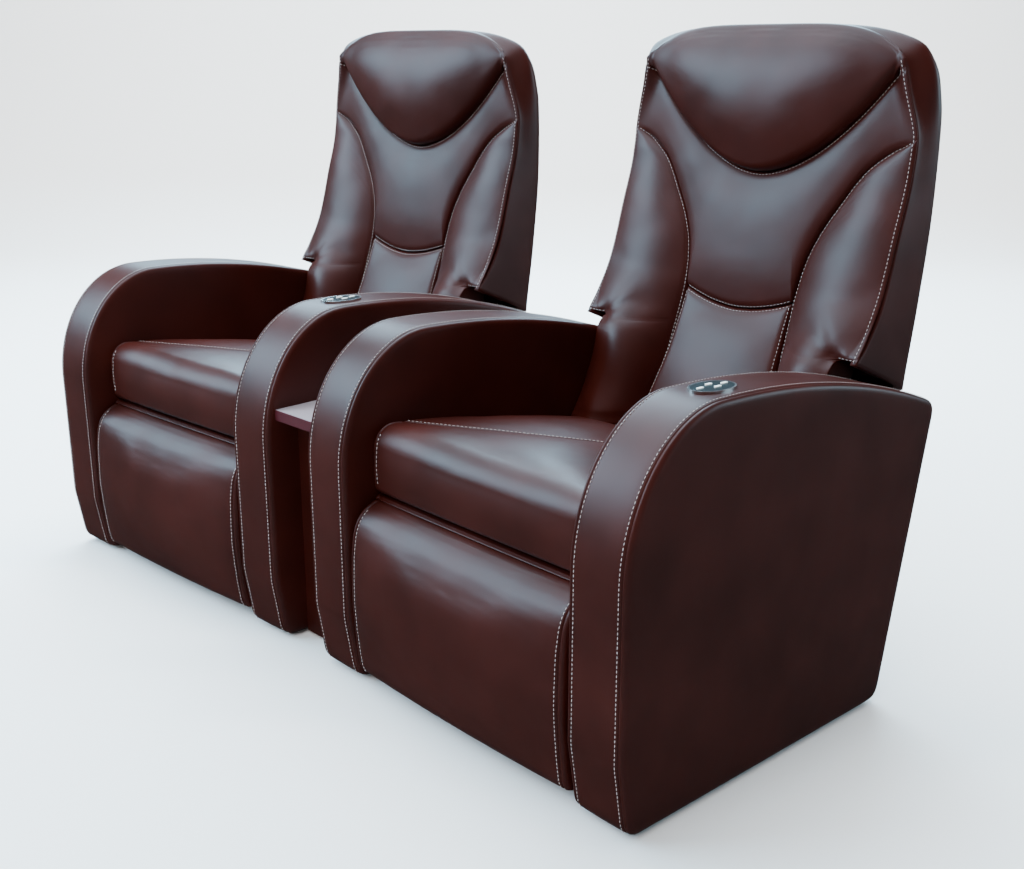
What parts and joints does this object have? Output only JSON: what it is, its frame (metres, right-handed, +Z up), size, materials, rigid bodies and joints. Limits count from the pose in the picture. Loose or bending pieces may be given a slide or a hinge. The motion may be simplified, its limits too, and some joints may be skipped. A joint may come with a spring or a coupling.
{
  "type": "cinema recliner seat",
  "caption": "Paired home-cinema recliners with powered footrests and reclining backs, padded arms with oval switches and a wedge console between them.",
  "frame": {"origin": "on the floor, at the centre of the unit's outline", "axes": "+X to the right seen from the front, +Y to the rear, +Z up"},
  "size_m": [1.7366, 0.8559, 1.147],
  "materials": {
    "leatherette": "satin",
    "black_steel": "satin",
    "zinc_steel": "satin",
    "slider_nylon": "matte",
    "plywood": "matte",
    "webbing": "matte",
    "motor_plastic": "matte",
    "key_rubber": "matte",
    "switch_rim": "satin",
    "switch_face": "gloss",
    "glide_plastic": "matte",
    "console_leatherette": "satin",
    "console_top": "satin"
  },
  "bodies": {
    "base": {"switch_bezels": "switch_rim", "switch_plates": "switch_face", "glides": "glide_plastic", "console_box": "console_leatherette", "console_front": "console_leatherette", "console_top": "console_top", "left_inner_arm": "leatherette", "left_outer_arm": "leatherette", "left_base_frame": "black_steel", "left_seat_frame": "plywood", "left_seat_webbing": "webbing", "left_seat_cushion": "leatherette", "left_footrest_motor": "motor_plastic", "left_back_motor": "motor_plastic", "right_inner_arm": "leatherette", "right_outer_arm": "leatherette", "right_base_frame": "black_steel", "right_seat_frame": "plywood", "right_seat_webbing": "webbing", "right_seat_cushion": "leatherette", "right_footrest_motor": "motor_plastic", "right_back_motor": "motor_plastic"},
    "left_swing": {"left_swing_links": "zinc_steel"},
    "left_reach": {"left_reach_links": "zinc_steel"},
    "left_guide": {"left_guide_links": "zinc_steel"},
    "left_knee": {"left_footrest_links": "zinc_steel"},
    "left_footrest": {"left_footrest_board": "plywood", "left_footrest_pad": "leatherette"},
    "left_footrest_drive": {"left_footrest_slider": "slider_nylon"},
    "left_back_drive": {"left_back_slider": "slider_nylon"},
    "left_back": {"left_back_frame": "plywood", "left_back_shell": "leatherette", "left_headrest_pad": "leatherette", "left_centre_pad": "leatherette", "left_lumbar_pad": "leatherette", "left_wing_pads": "leatherette"},
    "left_legrest_key": {"left_legrest_key": "key_rubber"},
    "left_out_key": {"left_out_key": "key_rubber"},
    "left_in_key": {"left_in_key": "key_rubber"},
    "left_recline_key": {"left_recline_key": "key_rubber"},
    "right_swing": {"right_swing_links": "zinc_steel"},
    "right_reach": {"right_reach_links": "zinc_steel"},
    "right_guide": {"right_guide_links": "zinc_steel"},
    "right_knee": {"right_footrest_links": "zinc_steel"},
    "right_footrest": {"right_footrest_board": "plywood", "right_footrest_pad": "leatherette"},
    "right_footrest_drive": {"right_footrest_slider": "slider_nylon"},
    "right_back_drive": {"right_back_slider": "slider_nylon"},
    "right_back": {"right_back_frame": "plywood", "right_back_shell": "leatherette", "right_headrest_pad": "leatherette", "right_centre_pad": "leatherette", "right_lumbar_pad": "leatherette", "right_wing_pads": "leatherette"},
    "right_legrest_key": {"right_legrest_key": "key_rubber"},
    "right_out_key": {"right_out_key": "key_rubber"},
    "right_in_key": {"right_in_key": "key_rubber"},
    "right_recline_key": {"right_recline_key": "key_rubber"}
  },
  "joints": [
    {"name": "left_footrest_swing", "type": "hinge", "parent": "base", "child": "left_swing", "pos_m": [-0.45636, -0.2458, 0.262], "axis": [-0.9992, -0.04, 0], "range_deg": [0, 98]},
    {"name": "left_reach_turn", "type": "hinge", "parent": "left_swing", "child": "left_reach", "pos_m": [-0.4593, -0.17236, 0.13469], "axis": [-0.9992, -0.04, 0], "range_deg": [-101.25, 0]},
    {"name": "left_guide_turn", "type": "hinge", "parent": "base", "child": "left_guide", "pos_m": [-0.458, -0.20483, 0.226], "axis": [-0.9992, -0.04, 0], "range_deg": [0, 96.71]},
    {"name": "left_knee_turn", "type": "hinge", "parent": "left_guide", "child": "left_knee", "pos_m": [-0.46168, -0.11296, 0.05894], "axis": [-0.9992, -0.04, 0], "range_deg": [-99.19, 0]},
    {"name": "left_footrest_turn", "type": "hinge", "parent": "left_reach", "child": "left_footrest", "pos_m": [-0.45397, -0.30575, 0.266], "axis": [-0.9992, -0.04, 0], "range_deg": [0, 93.25]},
    {"name": "left_footrest_drive", "type": "slide", "parent": "base", "child": "left_footrest_drive", "axis": [0.04, -0.9992, 0], "range_m": [0, 0.09057]},
    {"name": "left_back_recline", "type": "hinge", "parent": "base", "child": "left_back", "pos_m": [-0.47894, 0.31875, 0.33], "axis": [-0.9992, -0.04, 0], "range_deg": [0, 35]},
    {"name": "left_back_drive", "type": "slide", "parent": "base", "child": "left_back_drive", "axis": [0.04, -0.9992, 0], "range_m": [0, 0.04511]},
    {"name": "left_legrest_key_press", "type": "slide", "parent": "base", "child": "left_legrest_key", "axis": [0.001, -0.025, -0.9997], "range_m": [0, 0.0008], "stiffness_N_per_m": 400, "springref_m": -0.002},
    {"name": "left_out_key_press", "type": "slide", "parent": "base", "child": "left_out_key", "axis": [0.001, -0.025, -0.9997], "range_m": [0, 0.0008], "stiffness_N_per_m": 400, "springref_m": -0.002},
    {"name": "left_in_key_press", "type": "slide", "parent": "base", "child": "left_in_key", "axis": [0.001, -0.025, -0.9997], "range_m": [0, 0.0008], "stiffness_N_per_m": 400, "springref_m": -0.002},
    {"name": "left_recline_key_press", "type": "slide", "parent": "base", "child": "left_recline_key", "axis": [0.001, -0.025, -0.9997], "range_m": [0, 0.0008], "stiffness_N_per_m": 400, "springref_m": -0.002},
    {"name": "right_footrest_swing", "type": "hinge", "parent": "base", "child": "right_swing", "pos_m": [0.45636, -0.2458, 0.262], "axis": [-0.9992, 0.04, 0], "range_deg": [0, 98]},
    {"name": "right_reach_turn", "type": "hinge", "parent": "right_swing", "child": "right_reach", "pos_m": [0.4593, -0.17236, 0.13469], "axis": [-0.9992, 0.04, 0], "range_deg": [-101.25, 0]},
    {"name": "right_guide_turn", "type": "hinge", "parent": "base", "child": "right_guide", "pos_m": [0.458, -0.20483, 0.226], "axis": [-0.9992, 0.04, 0], "range_deg": [0, 96.71]},
    {"name": "right_knee_turn", "type": "hinge", "parent": "right_guide", "child": "right_knee", "pos_m": [0.46168, -0.11296, 0.05894], "axis": [-0.9992, 0.04, 0], "range_deg": [-99.19, 0]},
    {"name": "right_footrest_turn", "type": "hinge", "parent": "right_reach", "child": "right_footrest", "pos_m": [0.45397, -0.30575, 0.266], "axis": [-0.9992, 0.04, 0], "range_deg": [0, 93.25]},
    {"name": "right_footrest_drive", "type": "slide", "parent": "base", "child": "right_footrest_drive", "axis": [-0.04, -0.9992, 0], "range_m": [0, 0.09057]},
    {"name": "right_back_recline", "type": "hinge", "parent": "base", "child": "right_back", "pos_m": [0.47894, 0.31875, 0.33], "axis": [-0.9992, 0.04, 0], "range_deg": [0, 35]},
    {"name": "right_back_drive", "type": "slide", "parent": "base", "child": "right_back_drive", "axis": [-0.04, -0.9992, 0], "range_m": [0, 0.04511]},
    {"name": "right_legrest_key_press", "type": "slide", "parent": "base", "child": "right_legrest_key", "axis": [-0.001, -0.025, -0.9997], "range_m": [0, 0.0008], "stiffness_N_per_m": 400, "springref_m": -0.002},
    {"name": "right_out_key_press", "type": "slide", "parent": "base", "child": "right_out_key", "axis": [-0.001, -0.025, -0.9997], "range_m": [0, 0.0008], "stiffness_N_per_m": 400, "springref_m": -0.002},
    {"name": "right_in_key_press", "type": "slide", "parent": "base", "child": "right_in_key", "axis": [-0.001, -0.025, -0.9997], "range_m": [0, 0.0008], "stiffness_N_per_m": 400, "springref_m": -0.002},
    {"name": "right_recline_key_press", "type": "slide", "parent": "base", "child": "right_recline_key", "axis": [-0.001, -0.025, -0.9997], "range_m": [0, 0.0008], "stiffness_N_per_m": 400, "springref_m": -0.002}
  ],
  "couplings": [
    {"joint": "left_reach_turn", "follows": "left_footrest_swing", "ratio": -1.0331},
    {"joint": "left_guide_turn", "follows": "left_footrest_swing", "ratio": 0.98683},
    {"joint": "left_knee_turn", "follows": "left_footrest_swing", "ratio": -1.0121},
    {"joint": "left_footrest_turn", "follows": "left_footrest_swing", "ratio": 0.95148},
    {"joint": "left_footrest_drive", "follows": "left_footrest_swing", "m_per_rad": 0.052949},
    {"joint": "left_back_drive", "follows": "left_back_recline", "m_per_rad": 0.07384},
    {"joint": "right_reach_turn", "follows": "right_footrest_swing", "ratio": -1.0331},
    {"joint": "right_guide_turn", "follows": "right_footrest_swing", "ratio": 0.98683},
    {"joint": "right_knee_turn", "follows": "right_footrest_swing", "ratio": -1.0121},
    {"joint": "right_footrest_turn", "follows": "right_footrest_swing", "ratio": 0.95148},
    {"joint": "right_footrest_drive", "follows": "right_footrest_swing", "m_per_rad": 0.052949},
    {"joint": "right_back_drive", "follows": "right_back_recline", "m_per_rad": 0.07384}
  ]
}
